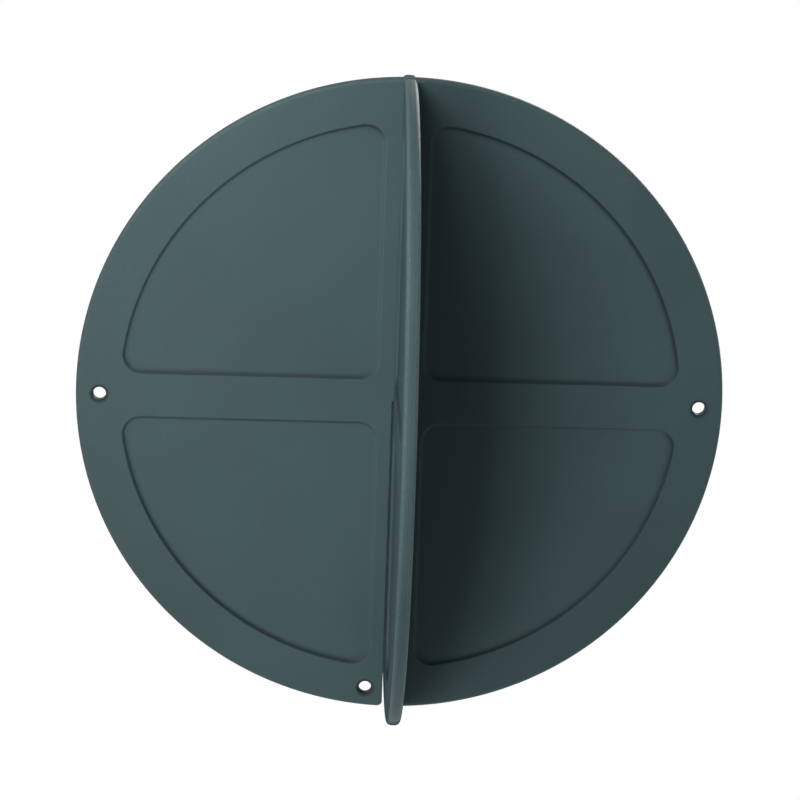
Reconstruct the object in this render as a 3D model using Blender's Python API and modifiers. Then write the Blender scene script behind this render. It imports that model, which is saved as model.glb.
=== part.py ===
"""Collapsible anchor ball: two slotted plastic discs pushed together at right angles.

Both discs come out of one mould. The main disc faces -Y with its slot open at the bottom. The
cross disc is the same moulding turned upside down and a quarter turn round, with its slot open
at the top. The main disc drops over the cross disc until the closed ends of the slots meet.
Metres, +Z up, with the origin at the shared centre of the discs.
"""

from math import asin, cos, pi, radians, sin, sqrt

import bmesh
import bpy

# Driving dimensions of the moulding
DISC_DIAMETER = 0.300
DISC_THICKNESS = 0.006
RIM_ROUND = 0.0020          # radius along both edges of the rim
RIM_BAND = 0.020            # full-thickness border outside the panels
RIB_WIDTH = 0.020           # full-thickness cross between the panels
PANEL_DEPTH = 0.0012        # sunk into each face, with walls at 45 degrees
PANEL_CORNER = 0.009
SLOT_CLEARANCE = 0.0007     # each side of the other disc, at the closed end
MOUTH_CLEARANCE = 0.0010    # each side of the other disc, at the open end
SLOT_END_ROUND = 0.001      # in the corners of the closed end
SLOT_MOUTH_ROUND = 0.0025   # lead-in at the open end
SEAT_GAP = 0.0003           # between the closed ends of the two slots
EYE_DIAMETER = 0.006        # hole for a line
EYE_LIP = 0.0014            # radius round both ends of a hole
SIDE_EYE_INSET = 0.011      # disc edge to the centre of a hole on the cross rib
SLOT_EYE_INSET = 0.009      # disc edge to the centre of the hole beside the slot
SLOT_EYE_WALL = 0.0038      # material between the slot and the lip of that hole
CUT_MARGIN = 0.0005         # how far a cutter stands past the surface that it cuts

# Finish of the moulding
PLASTIC_COLOUR = (0.055, 0.085, 0.092, 1.0)
PLASTIC_ROUGHNESS = 0.48

# Facets
RIM_STEPS = 120
RIM_ROUND_STEPS = 3
PANEL_ARC_STEPS = 18
CORNER_STEPS = 5
EYE_STEPS = 20
LIP_STEPS = 3
MOUTH_SWEEP = radians(75)
RIM_EDGE_ANGLE = radians(60)
SMOOTH_ANGLE = radians(35)
WELD = 1e-6

# Sizes that follow from them
disc_radius = DISC_DIAMETER / 2
half_thickness = DISC_THICKNESS / 2
half_slot = half_thickness + SLOT_CLEARANCE
half_mouth = half_thickness + MOUTH_CLEARANCE
eye_radius = EYE_DIAMETER / 2
lip_radius = eye_radius + EYE_LIP


def clear_scene():
    for obj in list(bpy.data.objects):
        bpy.data.objects.remove(obj, do_unlink=True)


def new_collection(name):
    collection = bpy.data.collections.new(name)
    bpy.context.scene.collection.children.link(collection)
    return collection


def plastic(name):
    material = bpy.data.materials.new(name)
    material.use_nodes = True
    shader = material.node_tree.nodes["Principled BSDF"]
    shader.inputs["Base Color"].default_value = PLASTIC_COLOUR
    shader.inputs["Roughness"].default_value = PLASTIC_ROUGHNESS
    shader.inputs["Metallic"].default_value = 0.0
    return material


def arc(centre, radius, start, end, steps):
    """Points on an arc about centre, from the start angle to the end angle, both included."""
    angles = [start + (end - start) * step / steps for step in range(steps + 1)]
    return [(centre[0] + radius * cos(a), centre[1] + radius * sin(a)) for a in angles]


def panel_outline(turn):
    """A rounded quarter of the disc inside its rim band and ribs, turned about the centre."""
    edge = RIB_WIDTH / 2
    outer = disc_radius - RIM_BAND
    near = edge + PANEL_CORNER
    lean = asin(near / (outer - PANEL_CORNER))
    far = (outer - PANEL_CORNER) * cos(lean)
    quarter = arc((near, near), PANEL_CORNER, pi, 1.5 * pi, CORNER_STEPS)
    quarter += arc((far, near), PANEL_CORNER, -pi / 2, lean, CORNER_STEPS)
    quarter += arc((0, 0), outer, lean, pi / 2 - lean, PANEL_ARC_STEPS)[1:-1]
    quarter += arc((near, far), PANEL_CORNER, pi / 2 - lean, pi, CORNER_STEPS)
    return [(x * cos(turn) - y * sin(turn), x * sin(turn) + y * cos(turn)) for x, y in quarter]


def slot_outline():
    """The slot, opening out from its closed end just past the centre to a flared mouth."""
    closed_end = SEAT_GAP / 2
    corner = min(SLOT_END_ROUND, SLOT_CLEARANCE)
    side = arc((half_slot - corner, closed_end - corner), corner, pi / 2, 0, CORNER_STEPS)
    flare_x = half_mouth + SLOT_MOUTH_ROUND
    flare_y = -sqrt((disc_radius - SLOT_MOUTH_ROUND) ** 2 - flare_x ** 2)
    side += arc((flare_x, flare_y), SLOT_MOUTH_ROUND, pi, pi + MOUTH_SWEEP, CORNER_STEPS)
    last_x, last_y = side[-1]
    drop = last_y + disc_radius + CUT_MARGIN
    side.append((last_x + drop * sin(MOUTH_SWEEP) / cos(MOUTH_SWEEP), last_y - drop))
    return side + [(-x, y) for x, y in reversed(side)]


def eye_places():
    """Centres of the line holes: one at each end of the cross rib and one beside the slot."""
    side_x = disc_radius - SIDE_EYE_INSET
    slot_x = half_mouth + SLOT_EYE_WALL + lip_radius
    slot_y = -sqrt((disc_radius - SLOT_EYE_INSET) ** 2 - slot_x ** 2)
    return [(-side_x, 0.0), (side_x, 0.0), (-slot_x, slot_y)]


def eye_profile():
    """Half section of the hole's cutter: a straight bore that rolls out at both ends.

    The last chord of each lip runs on past the face, so that the cut ends cleanly on it.
    """
    top = half_thickness - EYE_LIP
    lip = arc((lip_radius, top), EYE_LIP, pi, pi / 2, LIP_STEPS)
    over = (2 * lip[-1][0] - lip[-2][0], 2 * lip[-1][1] - lip[-2][1])
    upper = [(0.0, over[1]), over] + lip[-2::-1]
    return upper + [(r, -z) for r, z in reversed(upper)]


def hide_cutter(obj):
    obj.hide_render = True
    obj.display_type = 'WIRE'


def evaluated_mesh(obj):
    """A new mesh with the object's curve or modifiers worked out."""
    bpy.context.view_layer.update()
    depsgraph = bpy.context.evaluated_depsgraph_get()
    return bpy.data.meshes.new_from_object(obj.evaluated_get(depsgraph))


def plate(name, outlines, half_height, collection, chamfer=0.0, inset=0.0):
    """A flat cutter with the given outlines, its ends chamfered and drawn in by inset."""
    curve = bpy.data.curves.new(name, 'CURVE')
    curve.dimensions = '2D'
    curve.fill_mode = 'BOTH'
    curve.extrude = half_height - chamfer
    curve.bevel_depth = chamfer
    curve.bevel_resolution = 0
    curve.offset = -inset
    for outline in outlines:
        spline = curve.splines.new('POLY')
        spline.points.add(len(outline) - 1)
        for point, (x, y) in zip(spline.points, outline):
            point.co = (x, y, 0.0, 1.0)
        spline.use_cyclic_u = True
    drawing = bpy.data.objects.new(name + "_drawing", curve)
    collection.objects.link(drawing)
    mesh = evaluated_mesh(drawing)
    mesh.name = name
    weld = bmesh.new()
    weld.from_mesh(mesh)
    bmesh.ops.remove_doubles(weld, verts=weld.verts, dist=WELD)
    bmesh.ops.recalc_face_normals(weld, faces=weld.faces)
    weld.to_mesh(mesh)
    weld.free()
    cutter = bpy.data.objects.new(name, mesh)
    cutter.matrix_world = drawing.matrix_world.copy()
    collection.objects.link(cutter)
    bpy.data.objects.remove(drawing, do_unlink=True)
    hide_cutter(cutter)
    return cutter


def turned(name, profile, steps, collection):
    """A cutter turned about Z from a half section listed from top to bottom."""
    mesh = bpy.data.meshes.new(name)
    edges = [(i, i + 1) for i in range(len(profile) - 1)]
    mesh.from_pydata([(r, 0.0, z) for r, z in profile], edges, [])
    cutter = bpy.data.objects.new(name, mesh)
    collection.objects.link(cutter)
    screw = cutter.modifiers.new("turn", 'SCREW')
    screw.axis = 'Z'
    screw.steps = steps
    screw.render_steps = steps
    screw.use_merge_vertices = True
    screw.merge_threshold = WELD
    hide_cutter(cutter)
    return cutter


def disc_blank(name, collection):
    """A plain round plate in the XY plane with a rounded rim."""
    mesh = bpy.data.meshes.new(name)
    blank = bmesh.new()
    bmesh.ops.create_cone(blank, cap_ends=True, segments=RIM_STEPS, radius1=disc_radius,
                          radius2=disc_radius, depth=DISC_THICKNESS)
    blank.to_mesh(mesh)
    blank.free()
    plain = bpy.data.objects.new(name, mesh)
    collection.objects.link(plain)
    rim = plain.modifiers.new("rim_round", 'BEVEL')
    rim.width = RIM_ROUND
    rim.segments = RIM_ROUND_STEPS
    rim.limit_method = 'ANGLE'
    rim.angle_limit = RIM_EDGE_ANGLE
    hide_cutter(plain)
    return plain


def cut(blank, cutter):
    trim = blank.modifiers.new(cutter.name, 'BOOLEAN')
    trim.operation = 'DIFFERENCE'
    trim.solver = 'EXACT'
    trim.object = cutter


def disc_moulding(collection):
    """The finished moulding as a mesh, flat in the XY plane with its slot towards -Y."""
    blank = disc_blank("disc_blank", collection)
    panels = [panel_outline(quarter * pi / 2) for quarter in range(4)]
    draft = PANEL_DEPTH + CUT_MARGIN
    panel_floor = half_thickness - PANEL_DEPTH
    for face, side in (("front", 1), ("back", -1)):
        cutter = plate(f"{face}_panels", panels, 2 * draft, collection, draft, PANEL_DEPTH)
        cutter.location.z = side * (panel_floor + 2 * draft)
        cut(blank, cutter)
    cut(blank, plate("slot", [slot_outline()], half_thickness + CUT_MARGIN, collection))
    for number, (x, y) in enumerate(eye_places(), start=1):
        cutter = turned(f"eye_{number}", eye_profile(), EYE_STEPS, collection)
        cutter.location = (x, y, 0.0)
        cut(blank, cutter)
    mesh = evaluated_mesh(blank)
    mesh.name = "disc_moulding"
    mesh.shade_smooth()
    mesh.set_sharp_from_angle(angle=SMOOTH_ANGLE)
    mesh.materials.append(None)
    return mesh


def disc(name, mesh, rotation, collection):
    """One disc of the pair, with its origin at its centre, on the line that the slots share."""
    obj = bpy.data.objects.new(name, mesh)
    obj.rotation_euler = rotation
    collection.objects.link(obj)
    slot = obj.material_slots[0]
    slot.link = 'OBJECT'
    slot.material = plastic(name + "_plastic")


clear_scene()
parts = new_collection("anchor_ball")
cutters = new_collection("anchor_ball_cutters")
moulding = disc_moulding(cutters)
disc("main_disc", moulding, (pi / 2, 0.0, 0.0), parts)
disc("cross_disc", moulding, (pi / 2, pi, pi / 2), parts)
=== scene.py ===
import bpy
import numpy as np
from mathutils import Matrix, Vector
from mathutils.geometry import delaunay_2d_cdt


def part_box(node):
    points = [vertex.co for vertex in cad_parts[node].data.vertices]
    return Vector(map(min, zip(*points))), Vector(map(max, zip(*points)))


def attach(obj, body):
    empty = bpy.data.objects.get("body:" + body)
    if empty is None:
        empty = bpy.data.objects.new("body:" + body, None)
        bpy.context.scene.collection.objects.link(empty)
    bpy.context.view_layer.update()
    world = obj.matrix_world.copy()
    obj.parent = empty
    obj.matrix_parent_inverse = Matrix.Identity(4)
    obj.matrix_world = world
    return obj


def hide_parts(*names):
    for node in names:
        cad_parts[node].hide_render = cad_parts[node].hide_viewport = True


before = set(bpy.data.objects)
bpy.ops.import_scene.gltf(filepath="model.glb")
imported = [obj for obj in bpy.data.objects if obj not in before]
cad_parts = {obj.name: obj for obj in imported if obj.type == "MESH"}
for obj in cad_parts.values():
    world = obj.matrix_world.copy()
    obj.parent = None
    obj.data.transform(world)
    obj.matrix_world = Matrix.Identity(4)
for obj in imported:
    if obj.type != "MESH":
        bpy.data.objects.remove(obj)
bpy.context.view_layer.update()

# Cross disc
# The plate that stands edge-on to the viewer and carries the other one. It is a dark plastic moulding made
# in one shot, alike on both faces, with a full-thickness rim and ribs round four sunk panels. It stands
# upright with its slot open at the top, ready to take the main disc.

cross_low, cross_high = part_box("cross_disc")
disc_radius = (cross_high.y - cross_low.y) / 2
half_thickness = (cross_high.x - cross_low.x) / 2
rim_round = 0.0020
rim_band = 0.020             # full-thickness border outside the panels
rib_width = 0.020            # full-thickness cross between the panels
panel_depth = 0.0012
panel_corner = 0.009
panel_dish = 0.00012         # how far the middle of a panel's floor has sunk in cooling
panel_top_round = 0.0004
panel_foot_round = 0.0009
half_slot = half_thickness + 0.0007
half_mouth = half_thickness + 0.0010
slot_edge_round = 0.0005
slot_end_round = 0.0007
slot_mouth_round = 0.0025
slot_closed_end = 0.00015    # past the centre, so that the two slots meet with a small gap
eye_radius = 0.003
eye_lip = 0.0014
side_eye_inset = 0.011       # rim to the centre of a hole on the cross rib
slot_eye_inset = 0.009       # rim to the centre of the hole beside the slot
slot_eye_wall = 0.0038       # material between the slot and the lip of that hole
parting_ridge = 0.00008
parting_width = 0.00022
ridge_reach = 2.2            # how far its profile goes to each side, in its own widths
flat_margin = 0.0003         # ring of level face beside each round, which keeps the shading true
path_step = 0.0022           # longest step between the points of a path
path_turn = 6.0              # sharpest turn between them, in degrees
edge_round_points = 8
panel_round_points = 5
ridge_points = 6
panel_floor_rings = np.concatenate((np.linspace(0.985, 0.9, 5), np.linspace(0.8, 0.1, 8)))
same_spot = 1e-8             # points closer than this are one


def arc(centre, radius, start, end):
    """Points round a centre at even steps of angle, from start to end in degrees, both included."""
    sweep = abs(end - start)
    steps = 1 + int(max(np.radians(sweep) * radius / path_step, sweep / path_turn))
    angle = np.radians(np.linspace(start, end, steps + 1))
    return np.asarray(centre) + radius * np.column_stack((np.cos(angle), np.sin(angle)))


def straight(start, end):
    """Points at even steps along a straight line, both ends included."""
    steps = 1 + int(np.linalg.norm(np.subtract(end, start)) / path_step)
    return np.linspace(start, end, steps + 1)


def joined(*stretches):
    """A closed path through stretches of points, without any point that repeats the one before it."""
    path = np.vstack(stretches)
    step = np.linalg.norm(path - np.roll(path, 1, axis=0), axis=1)
    return path[step > same_spot]


def outward(path):
    """Unit normals to the right of travel: the chord between a point's neighbours, a quarter turn back."""
    chord = np.roll(path, -1, axis=0) - np.roll(path, 1, axis=0)
    normal = np.column_stack((chord[:, 1], -chord[:, 0]))
    return normal / np.linalg.norm(normal, axis=1, keepdims=True)


def plate_path():
    """Once round the plate with the material on the left.

    The rim is an arc about the centre. A round corner leads from it into each side of the slot, and the
    sides close in slightly up to a flat end with rounded corners just past the centre.
    """
    mouth_x = half_mouth + slot_mouth_round
    mouth_y = -np.sqrt((disc_radius - slot_mouth_round) ** 2 - mouth_x ** 2)
    lean = np.degrees(np.arctan2(mouth_y, mouth_x))
    end_x = half_slot - slot_end_round
    end_y = slot_closed_end - slot_end_round
    rim = arc((0, 0), disc_radius, lean, 180 - lean)
    left_mouth = arc((-mouth_x, mouth_y), slot_mouth_round, 180 - lean, 360)
    left_side = straight(left_mouth[-1], (-half_slot, end_y))
    left_end = arc((-end_x, end_y), slot_end_round, 180, 90)
    right_end = arc((end_x, end_y), slot_end_round, 90, 0)
    right_mouth = arc((mouth_x, mouth_y), slot_mouth_round, 180, 360 + lean)
    right_side = straight((half_slot, end_y), right_mouth[0])
    closed_end = straight(left_end[-1], right_end[0])
    return joined(rim, left_mouth, left_side, left_end, closed_end, right_end, right_side, right_mouth)


def eye_paths():
    """Circles round the line holes, walked with the material on the left.

    One hole is at each end of the cross rib, and one is beside the mouth of the slot.
    """
    side_x = disc_radius - side_eye_inset
    slot_x = half_mouth + slot_eye_wall + eye_radius + eye_lip
    slot_y = -np.sqrt((disc_radius - slot_eye_inset) ** 2 - slot_x ** 2)
    centres = ((-side_x, 0), (side_x, 0), (-slot_x, slot_y))
    return [arc(centre, eye_radius, 360, 0)[:-1] for centre in centres]


def panel_path(turn):
    """A quarter of the disc inside the rim band and the ribs, with round corners, turned by degrees.

    The two outer corners are tangent to a rib's edge and to the outer arc from within.
    """
    outer = disc_radius - rim_band
    near = rib_width / 2 + panel_corner
    lean = np.degrees(np.arcsin(near / (outer - panel_corner)))
    far = (outer - panel_corner) * np.cos(np.radians(lean))
    inner_corner = arc((near, near), panel_corner, 180, 270)
    low_corner = arc((far, near), panel_corner, -90, lean)
    outer_arc = arc((0, 0), outer, lean, 90 - lean)
    high_corner = arc((near, far), panel_corner, 90 - lean, 180)
    low_edge = straight(inner_corner[-1], low_corner[0])
    high_edge = straight(high_corner[-1], inner_corner[0])
    quarter = joined(inner_corner, low_edge, low_corner, outer_arc, high_corner, high_edge)
    cosine, sine = np.cos(np.radians(turn)), np.sin(np.radians(turn))
    return quarter @ np.array([[cosine, sine], [-sine, cosine]])


def sheet(spot, height, rub, painted_shade):
    """A grid of surface points, each a row of x, y, height, rub and painted shade."""
    rub = np.broadcast_to(rub, height.shape)
    painted_shade = np.broadcast_to(painted_shade, height.shape)
    return np.dstack((spot, height, rub, painted_shade))


def plate_edge(path, edge_round, ridge, rubbed, shade_level):
    """The plate's edge carried along a path, from the front face over to the back.

    The profile is a quarter round, a flat and a quarter round, set in from the path along its normal. The
    radius of the rounds and the height of the moulding's parting ridge may change along the path. The ridge
    is a bell curve across the mid-plane, and the rest of the edge stands back by its height. The rub is a
    sine over each round, and the painted shade, a darker colour standing in for the shade inside a hole, is
    a low power of a sine over the whole profile.
    """
    edge_round = np.broadcast_to(edge_round, len(path))[:, None]
    ridge = np.broadcast_to(ridge, len(path))[:, None]
    turn = np.radians(np.linspace(0, 90, edge_round_points))
    ridge_height = parting_width * np.linspace(ridge_reach, 0, ridge_points)
    face_inset = edge_round + flat_margin
    face_height = np.full_like(face_inset, half_thickness)
    round_inset = edge_round * (1 - np.sin(turn))
    round_height = half_thickness - edge_round * (1 - np.cos(turn))
    half_inset = np.hstack((face_inset, round_inset, np.zeros((len(path), ridge_points))))
    half_height = np.hstack((face_height, round_height, np.tile(ridge_height, (len(path), 1))))
    inset = np.hstack((half_inset, half_inset[:, -2::-1]))
    height = np.hstack((half_height, -half_height[:, -2::-1]))
    inset = inset + ridge * (1 - np.exp(-(height / parting_width) ** 2))
    spot = path[:, None, :] - inset[:, :, None] * outward(path)[:, None, :]
    half_rub = np.concatenate(([0], np.sin(2 * turn), np.zeros(ridge_points)))
    rub = rubbed * np.concatenate((half_rub, half_rub[-2::-1]))
    # painted shade across the edge's profile, used for the darkness inside the line holes
    painted_shade = shade_level * np.sin(np.linspace(0, np.pi, len(rub))).clip(0) ** eye_shade_power
    return sheet(spot, height, rub, painted_shade)


# Painted shade: a darker colour laid along the panels' wall creases, set by which way each wall faces
arc_shade = 0.66             # painted shade along a panel's outer arc
arc_shade_ledge = 0.11       # more of it where the wall faces up
arc_shade_side = 0.18        # and where the wall faces the left of the drawing
arc_shade_both = -0.47       # and less where it does both
rib_shade = 0.38             # painted shade along the level ribs
rib_shade_ledge = 0.30
lip_shade = (0.2, 0.9)       # share of it across the wall's upper round
foot_shade = (1.0, 0.7)      # and across its hollow round
floor_edge_shade = 0.2       # and on the first ring of the floor


def sunk_panel(path, side, up):
    """One sunk panel on the front (side 1) or back (side -1): its wall, then its floor drawn to a middle.

    The wall rolls over the face's edge, drops at 45 degrees and runs out through a hollow round. The floor
    is the wall's foot scaled about the middle of the panel, dished by a fourth power of the scale. Painted
    shade, a darker colour standing in for the shade in the crease, is strongest where the hollow round
    starts. It lies along the outer arc and the level ribs, by sums and a product of how far the wall faces
    up and sideways, and there is none along the upright ribs. In place, the drawing's y is up (1) or down
    (-1).
    """
    turn = np.radians(np.linspace(0, 45, panel_round_points))
    top_reach = panel_top_round * np.tan(np.pi / 8)
    foot_reach = panel_foot_round * np.tan(np.pi / 8)
    top_inset = panel_top_round * np.sin(turn) - top_reach
    top_drop = panel_top_round * (1 - np.cos(turn))
    foot_inset = panel_depth + foot_reach - panel_foot_round * np.sin(turn[::-1])
    foot_drop = panel_depth - panel_foot_round * (1 - np.cos(turn[::-1]))
    wall_inset = np.concatenate(([-top_reach - flat_margin], top_inset, foot_inset))
    wall = path[:, None, :] - wall_inset[None, :, None] * outward(path)[:, None, :]
    middle = path.mean(axis=0)
    floor = middle + panel_floor_rings[None, :, None] * (wall[:, -1:, :] - middle)
    floor_drop = panel_depth + panel_dish * (1 - panel_floor_rings ** 4)
    spot = np.concatenate((wall, floor), axis=1)
    height = side * (half_thickness - np.concatenate(([0], top_drop, foot_drop, floor_drop)))
    rub = np.concatenate(([0], np.sin(4 * turn), np.zeros(len(foot_drop) + len(floor_drop))))

    rising = np.linspace(*lip_shade, len(top_drop))
    falling = np.linspace(*foot_shade, len(foot_drop))
    clean_floor = np.zeros(len(floor_drop) - 1)
    across = np.concatenate(([0], rising, falling, [floor_edge_shade], clean_floor))
    in_arc = (np.linalg.norm(path, axis=1) - disc_radius + rim_band) / panel_corner + 1
    side_lean, rise = outward(path).T
    ledge = -up * rise
    uneven = arc_shade_ledge * ledge + arc_shade_side * side_lean + arc_shade_both * ledge * side_lean
    beside_arc = np.clip(in_arc, 0, 1) * (arc_shade + uneven)
    beside_rib = ledge ** 2 * (rib_shade + rib_shade_ledge * ledge)
    # painted shade along the wall's foot, by the terms above
    painted_shade = np.maximum(beside_arc, beside_rib)[:, None] * across
    return sheet(spot, np.tile(height, (len(path), 1)), rub, painted_shade)


def grid_faces(index, turned):
    """Quads between neighbours on a grid whose first direction closes on itself, reversed if turned."""
    following = np.roll(index, -1, axis=0)
    corners = [index[:, :-1], following[:, :-1], following[:, 1:], index[:, 1:]]
    return np.stack(corners[::-1] if turned else corners, axis=-1).reshape(-1, 4)


def flat_face(spots, outline, holes):
    """Triangles between an outline and its holes, each a row of point numbers, over flat points.

    A triangle with all three corners on one hole fills that hole, and is left out.
    """
    loops = [outline] + holes
    order = np.concatenate(loops)
    owner = np.repeat(np.arange(len(loops)), [len(loop) for loop in loops])
    place = np.arange(len(order))
    starts = np.searchsorted(owner, owner)
    follow = np.where(np.roll(owner, -1) == owner, np.roll(place, -1), starts)
    flat = spots[order, :2].tolist()
    edges = np.column_stack((place, follow)).tolist()
    within_outline = 1
    triangles = np.array(delaunay_2d_cdt(flat, edges, [], within_outline, same_spot)[2])
    in_hole = (np.ptp(owner[triangles], axis=1) == 0) & (owner[triangles[:, 0]] > 0)
    return order[triangles[~in_hole]]


eye_rub = 0.2
# painted shade inside the line holes' bores
eye_shade = 0.95
eye_shade_power = 0.33       # of a sine over the hole's wall: the lower, the more even the painted shade


def disc_moulding(name, turned):
    """The whole moulding as one closed mesh, drawn flat with its slot downwards and then turned into place.

    The edges and the panels are grids of points, and the level faces fill what is left between them. From
    the rim into the slot, the edge's round and its parting ridge shrink along a smooth step.
    """
    path = plate_path()
    into_slot = np.clip((disc_radius - np.linalg.norm(path, axis=1)) / slot_mouth_round, 0, 1)
    into_slot = into_slot ** 2 * (3 - 2 * into_slot)
    edge_round = rim_round + (slot_edge_round - rim_round) * into_slot
    panels = [panel_path(turn) for turn in (0, 90, 180, 270)]
    up = turned[2][1]
    sheets = [plate_edge(path, edge_round, parting_ridge * (1 - into_slot), 1.0, 0.0)]
    # the holes' walls carry painted shade
    sheets += [plate_edge(eye, eye_lip, 0.0, eye_rub, eye_shade) for eye in eye_paths()]
    sheets += [sunk_panel(panel, side, up) for side in (1, -1) for panel in panels]

    rows = np.vstack([grid.reshape(-1, grid.shape[2]) for grid in sheets])
    ends = np.cumsum([grid.shape[0] * grid.shape[1] for grid in sheets])
    numbers = np.split(np.arange(len(rows)), ends)
    index = [number.reshape(grid.shape[:2]) for number, grid in zip(numbers, sheets)]
    edge, eyes, front_panels, back_panels = index[0], index[1:4], index[4:8], index[8:12]
    front_holes = [grid[:, 0] for grid in eyes + front_panels]
    back_holes = [grid[:, -1] for grid in eyes] + [grid[:, 0] for grid in back_panels]
    quads = [grid_faces(grid, True) for grid in [edge] + eyes + back_panels]
    quads += [grid_faces(grid, False) for grid in front_panels]
    faces = np.vstack(quads).tolist()
    faces += [grid[:, -1].tolist() for grid in front_panels]
    faces += [grid[::-1, -1].tolist() for grid in back_panels]
    faces += flat_face(rows, edge[:, 0], front_holes).tolist()
    faces += flat_face(rows, edge[:, -1], back_holes)[:, ::-1].tolist()

    mesh = bpy.data.meshes.new(name)
    mesh.from_pydata((rows[:, :3] @ np.array(turned).T).tolist(), [], faces)
    # the second attribute is painted shade for the creases and holes
    for column, attribute in ((3, "rub"), (4, "painted_shade")):
        mesh.attributes.new(attribute, 'FLOAT', 'POINT').data.foreach_set("value", rows[:, column].copy())
    mesh.shade_smooth()
    mesh.validate()
    return mesh


plastic_tone = (0.062, 0.103, 0.110)
rubbed_tone = (0.130, 0.175, 0.182)
# dark tone of the painted shade in creases and holes
shade_tone = (0.018, 0.024, 0.026)
flow_drift = 0.07            # share by which the flow marks move the tone each way
fleck_shade = 0.6            # tone of the grain's flecks, as a share of the plastic's
fleck_cover = 0.10
rub_cover = (0.15, 0.45)     # how far a rubbed edge pales, over the range of the grain
scuff_cover = 0.12
# how far the painted shade darkens the colour at its strongest
shade_cover = 0.85
shine = 0.08
satin_rough = (0.42, 0.50)   # over the range of the flow marks
grain_rough = 0.06           # added over the range of the grain
glance_range = (0.75, 0.95)  # where the shine fades towards a glancing view
glance_rough = 0.95
grain_strength = 0.22
grain_depth = 0.0001


def shaded(tone, share):
    """A tone made darker or paler by a share."""
    return tuple(share * channel for channel in tone)


def effect(name, outputs):
    """An empty node group that takes a place and has named outputs, and the nodes that carry them."""
    group = bpy.data.node_groups.new(name, 'ShaderNodeTree')
    group.interface.new_socket("Place", in_out='INPUT', socket_type='NodeSocketVector')
    for socket in outputs:
        group.interface.new_socket(socket, in_out='OUTPUT', socket_type='NodeSocketFloat')
    place = group.nodes.new('NodeGroupInput').outputs["Place"]
    return group, place, group.nodes.new('NodeGroupOutput')


def noise(tree, place, scale, detail, rough):
    """A noise field over a place, with its scale per metre."""
    node = tree.nodes.new('ShaderNodeTexNoise')
    node.inputs["Scale"].default_value = scale
    node.inputs["Detail"].default_value = detail
    node.inputs["Roughness"].default_value = rough
    tree.links.new(place, node.inputs["Vector"])
    return node.outputs["Fac"]


def spread(tree, value, low, high, to_low=0.0, to_high=1.0):
    """A value carried by a smooth step from the range low to high onto a new one, held at its ends."""
    node = tree.nodes.new('ShaderNodeMapRange')
    node.interpolation_type = 'SMOOTHSTEP'
    node.inputs["From Min"].default_value = low
    node.inputs["From Max"].default_value = high
    node.inputs["To Min"].default_value = to_low
    node.inputs["To Max"].default_value = to_high
    tree.links.new(value, node.inputs["Value"])
    return node.outputs["Result"]


def combined(tree, operation, first, second):
    """Two values put together by a sum, a product or the like; the second may be a plain number."""
    node = tree.nodes.new('ShaderNodeMath')
    node.operation = operation
    tree.links.new(first, node.inputs[0])
    if isinstance(second, float):
        node.inputs[1].default_value = second
    else:
        tree.links.new(second, node.inputs[1])
    return node.outputs["Value"]


def layered(tree, under, over, factor):
    """A tone laid over another as far as a factor goes; the one under it may come from other nodes."""
    mix = tree.nodes.new('ShaderNodeMix')
    mix.data_type = 'RGBA'
    factor_in, under_in, over_in = mix.inputs[0], mix.inputs[6], mix.inputs[7]
    tree.links.new(factor, factor_in)
    over_in.default_value = (*over, 1.0)
    if isinstance(under, tuple):
        under_in.default_value = (*under, 1.0)
    else:
        tree.links.new(under, under_in)
    return mix.outputs[2]


def mould_grain_effect():
    """Spark-eroded mould grain: fine noise over a coarser one, as a height and as a tone."""
    group, place, result = effect("mould_grain", ["Height", "Tone"])
    fine = noise(group, place, scale=2400.0, detail=2.0, rough=0.6)
    coarse = noise(group, place, scale=620.0, detail=2.0, rough=0.5)
    fine_height = combined(group, 'MULTIPLY', fine, 0.65)
    coarse_height = combined(group, 'MULTIPLY', coarse, 0.35)
    group.links.new(combined(group, 'ADD', fine_height, coarse_height), result.inputs["Height"])
    group.links.new(spread(group, coarse, 0.3, 0.7), result.inputs["Tone"])
    return group


def flow_marks_effect():
    """Slow changes of tone where the melt met and cooled: one broad noise."""
    group, place, result = effect("flow_marks", ["Tone"])
    broad = noise(group, place, scale=11.0, detail=3.0, rough=0.55)
    group.links.new(spread(group, broad, 0.3, 0.7), result.inputs["Tone"])
    return group


def handling_marks_effect():
    """Handling marks: noise drawn out into thin streaks two ways, kept where a broad noise is high."""
    group, place, result = effect("handling_marks", ["Mask"])

    def streaks(angle, stretch):
        drawn = group.nodes.new('ShaderNodeMapping')
        drawn.inputs["Rotation"].default_value = angle
        drawn.inputs["Scale"].default_value = stretch
        group.links.new(place, drawn.inputs["Vector"])
        streak = noise(group, drawn.outputs["Vector"], scale=1.0, detail=1.0, rough=0.4)
        return spread(group, streak, 0.70, 0.80)

    one_way = streaks((0.3, 0.5, 0.9), (18.0, 950.0, 950.0))
    other_way = streaks((0.8, -0.4, -0.6), (900.0, 900.0, 14.0))
    where = spread(group, noise(group, place, scale=26.0, detail=2.0, rough=0.5), 0.48, 0.66)
    either_way = combined(group, 'MAXIMUM', one_way, other_way)
    group.links.new(combined(group, 'MULTIPLY', either_way, where), result.inputs["Mask"])
    return group


mould_grain = mould_grain_effect()
flow_marks = flow_marks_effect()
handling_marks = handling_marks_effect()


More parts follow.
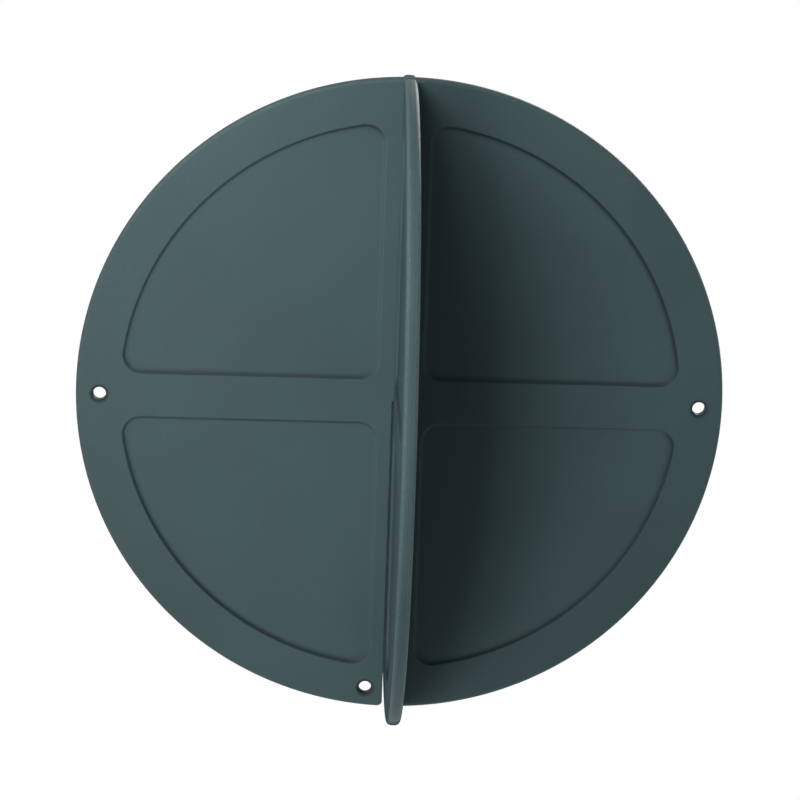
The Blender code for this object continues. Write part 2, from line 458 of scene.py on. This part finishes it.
def moulded_plastic(name, shift):
    """Dull moulded plastic, with the patterns of its grain and flow shifted to a place of its own.

    The tone drifts with the flow marks and pales on rubbed edges and along handling marks. Painted shade
    darkens it in the panels' creases and inside the holes. The little shine that it has is lost at a
    glancing angle, where the grain hides it.
    """
    material = bpy.data.materials.new(name)
    material.use_nodes = True
    tree = material.node_tree
    shader = tree.nodes["Principled BSDF"]
    shader.inputs["Specular IOR Level"].default_value = shine
    where = tree.nodes.new('ShaderNodeTexCoord')
    shifted = tree.nodes.new('ShaderNodeMapping')
    shifted.inputs["Location"].default_value = shift
    tree.links.new(where.outputs["Object"], shifted.inputs["Vector"])

    def placed(group):
        node = tree.nodes.new('ShaderNodeGroup')
        node.node_tree = group
        tree.links.new(shifted.outputs["Vector"], node.inputs["Place"])
        return node.outputs

    def painted(attribute):
        node = tree.nodes.new('ShaderNodeAttribute')
        node.attribute_name = attribute
        return node.outputs["Fac"]

    grain, flow, marks = placed(mould_grain), placed(flow_marks), placed(handling_marks)
    darker, paler = shaded(plastic_tone, 1 - flow_drift), shaded(plastic_tone, 1 + flow_drift)
    colour = layered(tree, darker, paler, flow["Tone"])
    fleck = combined(tree, 'MULTIPLY', grain["Tone"], fleck_cover)
    colour = layered(tree, colour, shaded(plastic_tone, fleck_shade), fleck)
    rubbing = spread(tree, grain["Tone"], 0.0, 1.0, *rub_cover)
    worn = combined(tree, 'MULTIPLY', painted("rub"), rubbing)
    scuffed = combined(tree, 'MULTIPLY', marks["Mask"], scuff_cover)
    colour = layered(tree, colour, rubbed_tone, combined(tree, 'MAXIMUM', worn, scuffed))
    # painted shade in creases and holes: the dark tone laid on by the mesh's shade attribute
    shade_share = combined(tree, 'MULTIPLY', painted("painted_shade"), shade_cover)
    colour = layered(tree, colour, shade_tone, shade_share)
    tree.links.new(colour, shader.inputs["Base Color"])

    satin = spread(tree, flow["Tone"], 0.0, 1.0, *satin_rough)
    satin = combined(tree, 'ADD', satin, combined(tree, 'MULTIPLY', grain["Tone"], grain_rough))
    glance = tree.nodes.new('ShaderNodeLayerWeight')
    glance.inputs["Blend"].default_value = 0.5
    dull = spread(tree, glance.outputs["Facing"], *glance_range, 0.0, glance_rough)
    tree.links.new(combined(tree, 'MAXIMUM', satin, dull), shader.inputs["Roughness"])

    bump = tree.nodes.new('ShaderNodeBump')
    bump.inputs["Strength"].default_value = grain_strength
    bump.inputs["Distance"].default_value = grain_depth
    tree.links.new(grain["Height"], bump.inputs["Height"])
    tree.links.new(bump.outputs["Normal"], shader.inputs["Normal"])
    return material


def placed_disc(name, body, turned, shift):
    """A disc of the pair, with its place in its mesh, standing for the plain solid of the same plate."""
    mesh = disc_moulding(name, turned)
    mesh.materials.append(moulded_plastic(name + "_plastic", shift))
    disc = bpy.data.objects.new(name, mesh)
    bpy.context.scene.collection.objects.link(disc)
    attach(disc, body)
    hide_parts(body)


upside_down_across = ((0, 0, 1), (-1, 0, 0), (0, -1, 0))
placed_disc("cross_disc_moulding", "cross_disc", upside_down_across, (0.37, 0.11, 0.53))

# Main disc
# The plate that faces the viewer, from the same mould and of the same plastic. It is pushed down over the
# cross disc, slot over slot, until the closed ends of the slots meet, and nothing else holds it.

facing_front = ((1, 0, 0), (0, 0, -1), (0, 1, 0))
placed_disc("main_disc_moulding", "main_disc", facing_front, (0.0, 0.0, 0.0))

# Floor
# A round pale board well below the hanging ball, painted matt. It is mostly white to the eye, as the room
# round it is, and keeps some of the ball's shadow.

floor_radius = 0.58
floor_height = -0.45
floor_whiteness = 0.7
floor_tone = (0.86, 0.86, 0.86)
floor_roughness = 0.9
floor_shine = 0.2
board_rings = 12
board_spokes = 90
board_middle = 0.05          # share of the radius that the middle face takes


def board(name, radius, height):
    """A flat round board: a grid of points at shares of the radius and at angles round the middle."""
    share = np.linspace(board_middle, 1, board_rings)
    angle = np.linspace(0, 2 * np.pi, board_spokes, endpoint=False)
    across = radius * np.outer(np.cos(angle), share)
    along = radius * np.outer(np.sin(angle), share)
    points = np.dstack((across, along, np.full_like(across, height))).reshape(-1, 3)
    index = np.arange(len(points)).reshape(across.shape)
    mesh = bpy.data.meshes.new(name)
    mesh.from_pydata(points.tolist(), [], grid_faces(index, True).tolist() + [index[:, 0].tolist()])
    return mesh


def seen_directly(tree):
    """One for a ray from the eye, straight or by way of a mirror or glass, and nothing for other rays."""
    ray = tree.nodes.new('ShaderNodeLightPath').outputs
    seen = combined(tree, 'MAXIMUM', ray["Is Camera Ray"], ray["Is Glossy Ray"])
    return combined(tree, 'MAXIMUM', seen, ray["Is Transmission Ray"])


floor_paint = bpy.data.materials.new("floor_paint")
floor_paint.use_nodes = True
floor_tree = floor_paint.node_tree
floor_shader = floor_tree.nodes["Principled BSDF"]
floor_shader.inputs["Base Color"].default_value = (*floor_tone, 1.0)
floor_shader.inputs["Roughness"].default_value = floor_roughness
floor_shader.inputs["Specular IOR Level"].default_value = floor_shine
floor_white = floor_tree.nodes.new('ShaderNodeEmission')
floor_mix = floor_tree.nodes.new('ShaderNodeMixShader')
floor_share = combined(floor_tree, 'MULTIPLY', seen_directly(floor_tree), floor_whiteness)
floor_tree.links.new(floor_share, floor_mix.inputs["Fac"])
floor_tree.links.new(floor_shader.outputs["BSDF"], floor_mix.inputs[1])
floor_tree.links.new(floor_white.outputs["Emission"], floor_mix.inputs[2])
floor_tree.links.new(floor_mix.outputs["Shader"], floor_tree.nodes["Material Output"].inputs["Surface"])
floor_mesh = board("floor", floor_radius, floor_height)
floor_mesh.materials.append(floor_paint)
floor = bpy.data.objects.new("floor", floor_mesh)
bpy.context.scene.collection.objects.link(floor)

# Studio light
# Two soft boxes stand to the left of the camera, one about level with the ball and one above it. Two more
# stand behind it and to its right, clear of the main disc's front. The room adds a little light all round,
# and is white to the eye.


def soft_box(name, left, up, distance, width, height, level):
    """A lamp facing the ball, at angles to the left of the front and up, given in degrees.

    Its level is what it gives a white card at the ball: the power is that level times pi squared times the
    distance squared.
    """
    left, up = np.radians((left, up))
    towards = Vector((-np.sin(left) * np.cos(up), -np.cos(left) * np.cos(up), np.sin(up)))
    lamp = bpy.data.lights.new(name, 'AREA')
    lamp.shape = 'RECTANGLE'
    lamp.size = width
    lamp.size_y = height
    lamp.energy = level * np.pi ** 2 * distance ** 2
    holder = bpy.data.objects.new(name, lamp)
    holder.location = distance * towards
    holder.rotation_euler = towards.to_track_quat('Z', 'Y').to_euler()
    bpy.context.scene.collection.objects.link(holder)


soft_box("front_box", left=21.0, up=-6.0, distance=0.76, width=0.24, height=0.28, level=0.46)
soft_box("upper_left_box", left=31.0, up=45.0, distance=0.40, width=0.23, height=0.10, level=0.49)
soft_box("back_box", left=210.0, up=25.0, distance=1.2, width=0.6, height=0.6, level=0.60)
soft_box("right_box", left=-102.0, up=8.0, distance=1.2, width=0.3, height=0.6, level=0.30)

room_level = 0.108           # what the room alone gives a white card
room = bpy.data.worlds.new("room")
bpy.context.scene.world = room
room.use_nodes = True
room_tree = room.node_tree
dim_room = room_tree.nodes["Background"]
dim_room.inputs["Color"].default_value = (1.0, 1.0, 1.0, 1.0)
dim_room.inputs["Strength"].default_value = room_level
white_room = room_tree.nodes.new('ShaderNodeBackground')
white_room.inputs["Color"].default_value = (1.0, 1.0, 1.0, 1.0)
white_room.inputs["Strength"].default_value = 1.0
room_mix = room_tree.nodes.new('ShaderNodeMixShader')
room_tree.links.new(seen_directly(room_tree), room_mix.inputs["Fac"])
room_tree.links.new(dim_room.outputs["Background"], room_mix.inputs[1])
room_tree.links.new(white_room.outputs["Background"], room_mix.inputs[2])
room_tree.links.new(room_mix.outputs["Shader"], room_tree.nodes["World Output"].inputs["Surface"])
bpy.context.scene.view_settings.view_transform = 'Standard'

# Camera
# A long lens a little above the ball and just left of its middle, held slightly out of level. Its focal
# length gives the disc the radius in the image that it has in the view to be matched.

azimuth, elevation, roll = np.radians((-1.8, 13.7, 1.9))
distance_in_radii = 8.3
camera_distance = distance_in_radii * disc_radius
image_width = 800
radius_in_image = 323.2
across_floor = np.array((np.sin(azimuth), -np.cos(azimuth)))
back = Vector((*(np.cos(elevation) * across_floor), np.sin(elevation)))
camera = bpy.data.cameras.new("camera")
camera.sensor_width = 36.0
camera.lens = camera.sensor_width * radius_in_image / image_width * distance_in_radii
camera_holder = bpy.data.objects.new("camera", camera)
level_view = back.to_track_quat('Z', 'Y').to_matrix().to_4x4()
rolled_view = level_view @ Matrix.Rotation(roll, 4, 'Z')
camera_holder.matrix_world = Matrix.Translation(back * camera_distance) @ rolled_view
bpy.context.scene.collection.objects.link(camera_holder)
bpy.context.scene.camera = camera_holder
